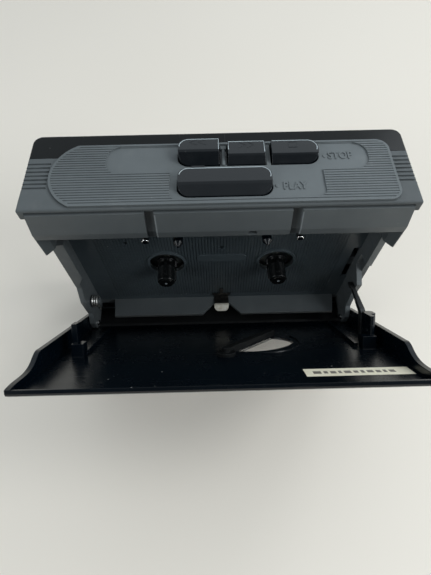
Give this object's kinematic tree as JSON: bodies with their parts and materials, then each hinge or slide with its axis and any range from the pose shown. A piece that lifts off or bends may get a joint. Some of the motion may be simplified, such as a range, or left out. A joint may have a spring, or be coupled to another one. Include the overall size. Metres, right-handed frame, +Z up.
{
  "type": "cassette player",
  "caption": "Pocket cassette player standing on its narrow side with the hinged cassette door open, press keys on top and a sliding battery cover at the back.",
  "frame": {"origin": "centre of the flat bottom face that the player stands on", "axes": "+X along the long side to the right as seen from the door, +Y from the door side to the rear cover, +Z up through the key row"},
  "size_m": [0.1158, 0.0771, 0.0917],
  "materials": {
    "case_grey": "fine matte moulded, slightly worn edges",
    "cover_black": "polished black",
    "panel_grey": "fine matte moulded",
    "frame_grey": "fine matte moulded",
    "deck_dark": "satin moulded",
    "door_black": "polished black with fine scratches",
    "arm_black": "satin",
    "clear_pane": "clear",
    "label_paper": "aged",
    "key_black": "fine textured",
    "spindle_black": "satin gloss",
    "black_plastic": "satin",
    "white_plastic": "moulded",
    "spring_steel": "drawn wire",
    "chrome_steel": "ground",
    "plated_steel": "zinc plated",
    "screw_steel": "blackened",
    "motor_steel": "drawn can",
    "brass": "turned",
    "rubber": "matte",
    "board_green": "solder resist",
    "capacitor_sleeve": "shrink sleeve",
    "head_metal": "polished"
  },
  "bodies": {
    "case": {"case_shell": "case_grey", "rear_cover": "cover_black", "key_panel": "panel_grey", "front_frame": "frame_grey", "deck_panel": "deck_dark", "cassette_spring": "spring_steel", "locating_pins": "black_plastic", "guide_pin": "chrome_steel", "chassis_plate": "plated_steel", "chassis_screws": "screw_steel", "capstan_bearing": "brass", "flywheel_bracket": "plated_steel", "bracket_posts": "plated_steel", "motor": "motor_steel", "drive_belt": "rubber", "idler_pin": "chrome_steel", "pinch_pivot": "chrome_steel", "circuit_board": "board_green", "amplifier_chip": "black_plastic", "capacitors": "capacitor_sleeve", "volume_shaft": "black_plastic", "headphone_jack": "black_plastic", "battery_tray": "black_plastic", "battery_spring_contact": "spring_steel", "battery_plate_contact": "spring_steel", "case_screws": "screw_steel", "door_torsion_spring": "spring_steel", "rewind_spring": "spring_steel", "fast_forward_spring": "spring_steel", "stop_spring": "spring_steel", "play_spring": "spring_steel"},
    "door": {"door": "door_black", "door_window": "clear_pane", "window_bar": "door_black", "door_label": "label_paper", "door_hinge_pins": "chrome_steel", "door_stop_arm": "arm_black"},
    "rewind_button": {"rewind_key": "key_black", "rewind_lever": "plated_steel"},
    "fast_forward_button": {"fast_forward_key": "key_black", "fast_forward_lever": "plated_steel"},
    "stop_button": {"stop_key": "key_black", "stop_lever": "plated_steel"},
    "play_button": {"play_key": "key_black", "play_lever": "plated_steel"},
    "take_up_reel": {"take_up_spindle": "spindle_black", "take_up_disc": "white_plastic"},
    "supply_reel": {"supply_spindle": "spindle_black", "supply_disc": "white_plastic"},
    "flywheel_rotor": {"flywheel": "brass", "capstan": "chrome_steel"},
    "motor_rotor": {"motor_pulley": "brass"},
    "idler": {"idler_wheel": "rubber"},
    "head_carriage": {"head_plate": "plated_steel", "playback_head": "head_metal", "head_screws": "screw_steel"},
    "pinch_lever": {"pinch_arm": "plated_steel"},
    "pinch_wheel": {"pinch_roller": "rubber"},
    "volume_dial": {"volume_wheel": "black_plastic"},
    "battery_cover": {"battery_door": "cover_black"}
  },
  "joints": [
    {"name": "door_hinge", "type": "hinge", "parent": "case", "child": "door", "pos_m": [0, -0.0152, 0.0124], "axis": [-1, 0, 0], "range_deg": [0, 37.2], "stiffness_Nm_per_rad": 0.012, "springref_deg": -20.05},
    {"name": "rewind_press", "type": "slide", "parent": "case", "child": "rewind_button", "axis": [0, 0, -1], "range_m": [0, 0.0024], "stiffness_N_per_m": 500, "springref_m": -0.0006, "deforming": ["rewind_spring"]},
    {"name": "fast_forward_press", "type": "slide", "parent": "case", "child": "fast_forward_button", "axis": [0, 0, -1], "range_m": [0, 0.0024], "stiffness_N_per_m": 500, "springref_m": -0.0006, "deforming": ["fast_forward_spring"]},
    {"name": "stop_press", "type": "slide", "parent": "case", "child": "stop_button", "axis": [0, 0, -1], "range_m": [0, 0.0024], "stiffness_N_per_m": 500, "springref_m": -0.0006, "deforming": ["stop_spring"]},
    {"name": "play_press", "type": "slide", "parent": "case", "child": "play_button", "axis": [0, 0, -1], "range_m": [0, 0.0024], "stiffness_N_per_m": 900, "springref_m": -0.0006, "deforming": ["play_spring"]},
    {"name": "take_up_spin", "type": "hinge", "parent": "case", "child": "take_up_reel", "pos_m": [-0.02025, 0, 0.0419], "axis": [0, 1, 0], "continuous": true},
    {"name": "supply_spin", "type": "hinge", "parent": "case", "child": "supply_reel", "pos_m": [0.02225, 0, 0.0419], "axis": [0, 1, 0], "continuous": true},
    {"name": "flywheel_spin", "type": "hinge", "parent": "case", "child": "flywheel_rotor", "pos_m": [-0.024, 0, 0.069], "axis": [0, 1, 0], "continuous": true},
    {"name": "motor_spin", "type": "hinge", "parent": "case", "child": "motor_rotor", "pos_m": [0.02, 0.009, 0.064], "axis": [0, 1, 0], "continuous": true},
    {"name": "idler_spin", "type": "hinge", "parent": "case", "child": "idler", "pos_m": [-0.02063, 0.001, 0.05975], "axis": [0, 1, 0], "continuous": true},
    {"name": "head_slide", "type": "slide", "parent": "case", "child": "head_carriage", "axis": [0, 0, -1], "range_m": [0, 0.00421]},
    {"name": "pinch_swing", "type": "hinge", "parent": "case", "child": "pinch_lever", "pos_m": [-0.038, -0.0045, 0.078], "axis": [0, 1, 0], "range_deg": [0, 8.25]},
    {"name": "pinch_roller_spin", "type": "hinge", "parent": "pinch_lever", "child": "pinch_wheel", "pos_m": [-0.0245, -0.008, 0.0763], "axis": [0, 1, 0], "continuous": true},
    {"name": "volume_turn", "type": "hinge", "parent": "case", "child": "volume_dial", "pos_m": [0.0503, 0.0088, 0.067], "axis": [0, 1, 0], "range_deg": [-140, 140]},
    {"name": "battery_door_slide", "type": "slide", "parent": "case", "child": "battery_cover", "axis": [1, 0, 0], "range_m": [0, 0.008]}
  ],
  "couplings": [
    {"joint": "head_slide", "follows": "play_press", "ratio": 1.75},
    {"joint": "pinch_swing", "follows": "play_press", "rad_per_m": 59.632},
    {"joint": "motor_spin", "follows": "flywheel_spin", "ratio": 5.6},
    {"joint": "idler_spin", "follows": "flywheel_spin", "ratio": -0.44444},
    {"joint": "take_up_spin", "follows": "flywheel_spin", "ratio": 0.27273}
  ]
}
